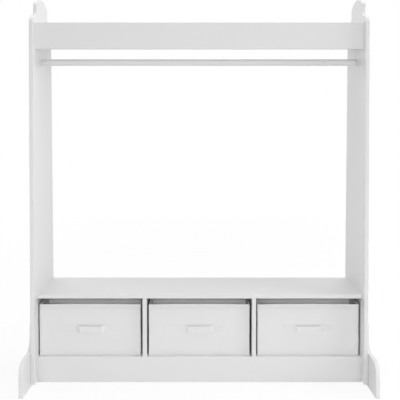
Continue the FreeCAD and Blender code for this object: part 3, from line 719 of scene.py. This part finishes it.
straps = {}
for place in bins:
    strap_low, strap_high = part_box(f"{place}_bin_handle")
    middle = (strap_low + strap_high) / 2
    size = strap_high - strap_low
    bow = (size.y - strap_thickness) * strap_kept_bow
    bpy.ops.object.select_all(action="DESELECT")
    bpy.ops.mesh.primitive_grid_add(x_subdivisions=strap_columns, y_subdivisions=strap_rows, size=1.0)
    strap = bpy.context.active_object
    strap.name = f"{place}_bin_strap"
    strap.data.name = strap.name
    for vertex in strap.data.vertices:
        offset = vertex.co.x * size.x
        rise = vertex.co.y * size.z
        cup = strap_cup * (2 * vertex.co.y) ** 2
        stand = strap_stand(offset, bow)
        lifted = stand / bow
        depth = strap_high.y - stand + cup * lifted
        vertex.co = (middle.x + offset, depth, middle.z + rise - strap_sag * lifted)
    apply_modifier(strap, "SOLIDIFY", thickness=strap_thickness, offset=1.0)
    apply_modifier(strap, "BEVEL", width=strap_edge_round, segments=strap_edge_steps, limit_method="ANGLE")
    map_cloth(strap)
    strap.data.materials.append(strap_webbing)
    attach(strap, f"{place}_bin")
    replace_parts(strap, f"{place}_bin_handle")
    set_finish(strap, "bin_strap")
    straps[place] = strap

# Bin stitching
# White polyester thread: one row above the lower edge of each hem, and a crossed box on both sewn ends of
# each strap. Every stitch rises over the cloth and dives into it at its ends.

thread_radius = 0.00018
stitch_length = 0.0036
stitch_heights = {0.0: -0.0004, 0.22: 0.00014, 0.5: 0.0002, 0.78: 0.00014}
hem_row_height = 0.003
hem_row_inset = 0.008
sewn_box_start = 0.047
sewn_box_margin = 0.003
needle_reach = 0.03
thread_white = (0.86, 0.86, 0.86, 1.0)
thread_shade = (0.78, 0.78, 0.78, 1.0)
thread_roughness = (0.5, 0.65)
thread_scale = 2400.0
thread_twist_depth = 0.00003


def sew_row(thread, piece, start, end, inward):
    """One straight row of stitches in a piece, seen along inward, as a spline of the thread."""
    run = end - start
    count = max(1, round(run.length / stitch_length))
    path = []
    for number in range(count):
        for share, height in stitch_heights.items():
            needle = start + run * ((number + share) / count) - inward * needle_reach
            found, spot, normal, _ = piece.ray_cast(needle, inward)
            if found:
                path.append(spot + normal * height)
    row = thread.splines.new("POLY")
    row.points.add(len(path) - 1)
    for point, spot in zip(row.points, path):
        point.co = (*spot, 1.0)


def sew_loop(thread, piece, corners, inwards, inset):
    """Rows from corner to corner around a loop, each a little short of its corners."""
    for number, start in enumerate(corners):
        end = corners[(number + 1) % len(corners)]
        step = (end - start).normalized() * inset
        sew_row(thread, piece, start + step, end - step, inwards[number % len(inwards)])


white_thread, _ = make_grained(
    "white_thread",
    cloth_specular,
    thread_scale,
    (thread_shade, thread_white),
    thread_roughness,
    thread_twist_depth,
)
backwards = Vector((0.0, 1.0, 0.0))
round_the_bin = (backwards, Vector((-1.0, 0.0, 0.0)), -backwards, Vector((1.0, 0.0, 0.0)))
for place in bins:
    name = f"{place}_bin_stitching"
    thread = bpy.data.curves.new(name, "CURVE")
    thread.dimensions = "3D"
    thread.bevel_depth = thread_radius
    thread.bevel_resolution = 0
    thread.use_fill_caps = True
    bpy.context.view_layer.update()
    low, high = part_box(f"{place}_bin_shell")
    level = high.z - hem_width + hem_row_height
    rim_corners = [Vector((x, y, level)) for x, y in (low.xy, (high.x, low.y), high.xy, (low.x, high.y))]
    sew_loop(thread, hems[place], rim_corners, round_the_bin, hem_row_inset)
    low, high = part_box(f"{place}_bin_handle")
    middle = (low + high) / 2
    for way in (-1.0, 1.0):
        near = middle.x + way * sewn_box_start
        far = middle.x + way * ((high.x - low.x) / 2 - sewn_box_margin)
        bottom, top = low.z + sewn_box_margin, high.z - sewn_box_margin
        corner_places = ((near, bottom), (far, bottom), (far, top), (near, top))
        corners = [Vector((x, high.y, z)) for x, z in corner_places]
        sew_loop(thread, straps[place], corners, (backwards,), 0.0)
        sew_row(thread, straps[place], corners[0], corners[2], backwards)
        sew_row(thread, straps[place], corners[1], corners[3], backwards)
    stitching = bpy.data.objects.new(name, thread)
    bpy.context.collection.objects.link(stitching)
    bpy.ops.object.select_all(action="DESELECT")
    stitching.select_set(True)
    bpy.context.view_layer.objects.active = stitching
    bpy.ops.object.convert(target="MESH")
    bpy.ops.object.shade_smooth()
    stitching.data.materials.append(white_thread)
    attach(stitching, f"{place}_bin")
    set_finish(stitching, "bin_binding")

# Floor and surround
# A sheet of plain white paper that fades out into a white surround. It is seen as white, and it keeps a
# soft shadow of the wardrobe.

floor_size = 8.0
floor_fade_start = 0.9
floor_fade_end = 3.4
floor_white = (0.95, 0.95, 0.95, 1.0)
floor_glow_share = 0.84
sky_strength = 0.28
sky_white = (1.0, 1.0, 1.0, 1.0)


def seen_directly(tree):
    """1 for rays from the camera or a reflection, 0 for rays that carry light to other surfaces."""
    path = add_node(tree, "ShaderNodeLightPath").outputs
    mirrored = calculate(tree, "MAXIMUM", path["Is Glossy Ray"], path["Is Transmission Ray"])
    return calculate(tree, "MAXIMUM", path["Is Camera Ray"], mirrored)


bpy.ops.object.select_all(action="DESELECT")
bpy.ops.mesh.primitive_plane_add(size=floor_size)
floor = bpy.context.active_object
floor.name = "floor"
floor_paper = bpy.data.materials.new("floor_paper")
floor_paper.use_nodes = True
floor_tree = floor_paper.node_tree
floor_tree.nodes.clear()
matt = add_node(floor_tree, "ShaderNodeBsdfDiffuse", {"Color": floor_white})
glow = add_node(floor_tree, "ShaderNodeEmission", {"Strength": 1.0})
glow_share = calculate(floor_tree, "MULTIPLY", seen_directly(floor_tree), floor_glow_share)
floor_mix = add_node(floor_tree, "ShaderNodeMixShader", {"Fac": glow_share})
for socket, shader in zip(floor_mix.inputs[1:], (matt.outputs["BSDF"], glow.outputs["Emission"])):
    feed(floor_tree, socket, shader)
floor_place = add_node(floor_tree, "ShaderNodeTexCoord").outputs["Object"]
reach = add_node(floor_tree, "ShaderNodeVectorMath", {"Vector": floor_place}, operation="LENGTH")
faded = fit_range(floor_tree, reach.outputs["Value"], 0.0, 1.0, floor_fade_start, floor_fade_end)
clear = add_node(floor_tree, "ShaderNodeBsdfTransparent")
floor_fade = add_node(floor_tree, "ShaderNodeMixShader", {"Fac": faded})
for socket, shader in zip(floor_fade.inputs[1:], (floor_mix.outputs["Shader"], clear.outputs["BSDF"])):
    feed(floor_tree, socket, shader)
add_node(floor_tree, "ShaderNodeOutputMaterial", {"Surface": floor_fade.outputs["Shader"]})
floor.data.materials.append(floor_paper)

surround = bpy.data.worlds.new("surround")
bpy.context.scene.world = surround
surround.use_nodes = True
sky = surround.node_tree.nodes["Background"]
sky.inputs["Color"].default_value = sky_white
sky_level = fit_range(surround.node_tree, seen_directly(surround.node_tree), sky_strength, 1.0)
feed(surround.node_tree, sky.inputs["Strength"], sky_level)

# Studio lamps
# Broad soft lamps: a strong one on the right, a weak one on the left, one above, and two behind at the
# corners. In front, a slim strip with a honeycomb grid stands at the height from which the bins can be
# looked into, so that its light reaches in over their rims.

wardrobe_middle = Vector((0.0, 0.0, 0.55))
bins_middle = Vector((0.0, -0.05, 0.19))
broad = (2.0, 2.0)
broadest = (2.5, 2.5)
slim = (3.4, 0.3)
open_spread = math.pi
grid_spread = math.radians(110.0)


def add_lamp(name, place, size, power, aim=wardrobe_middle, spread=open_spread):
    """A rectangular soft lamp that looks at a point, size metres wide and high."""
    place = Vector(place)
    bpy.ops.object.light_add(type="AREA", location=place)
    lamp = bpy.context.active_object
    lamp.name = name
    lamp.rotation_euler = (aim - place).to_track_quat("-Z", "Y").to_euler()
    lamp.data.shape = "RECTANGLE"
    lamp.data.size, lamp.data.size_y = size
    lamp.data.energy = power
    lamp.data.spread = spread


add_lamp("right_lamp", place=(3.2, -0.8, 1.4), size=broad, power=48.0)
add_lamp("left_lamp", place=(-3.2, -0.8, 1.4), size=broad, power=12.0)
add_lamp("top_lamp", place=(0.0, 0.1, 3.4), size=broadest, power=54.0)
add_lamp("rear_right_lamp", place=(2.4, 2.6, 1.3), size=broad, power=29.0)
add_lamp("rear_left_lamp", place=(-2.4, 2.6, 1.3), size=broad, power=29.5)
add_lamp("front_strip", place=(0.0, -3.4, 1.2), size=slim, power=17.7, aim=bins_middle, spread=grid_spread)

# Camera
# In front of the wardrobe, a little above its middle and looking slightly down. The lens is shifted to
# bring the whole wardrobe into the frame.

camera_place = (0.002, -1.8909, 0.7569)
camera_dip = math.radians(1.77)
camera_lens = 55.78
camera_shift = -0.14
bpy.ops.object.camera_add(location=camera_place, rotation=(math.pi / 2 - camera_dip, 0.0, 0.0))
camera = bpy.context.active_object
camera.data.lens = camera_lens
camera.data.shift_y = camera_shift
bpy.context.scene.camera = camera
bpy.context.scene.view_settings.view_transform = "Standard"
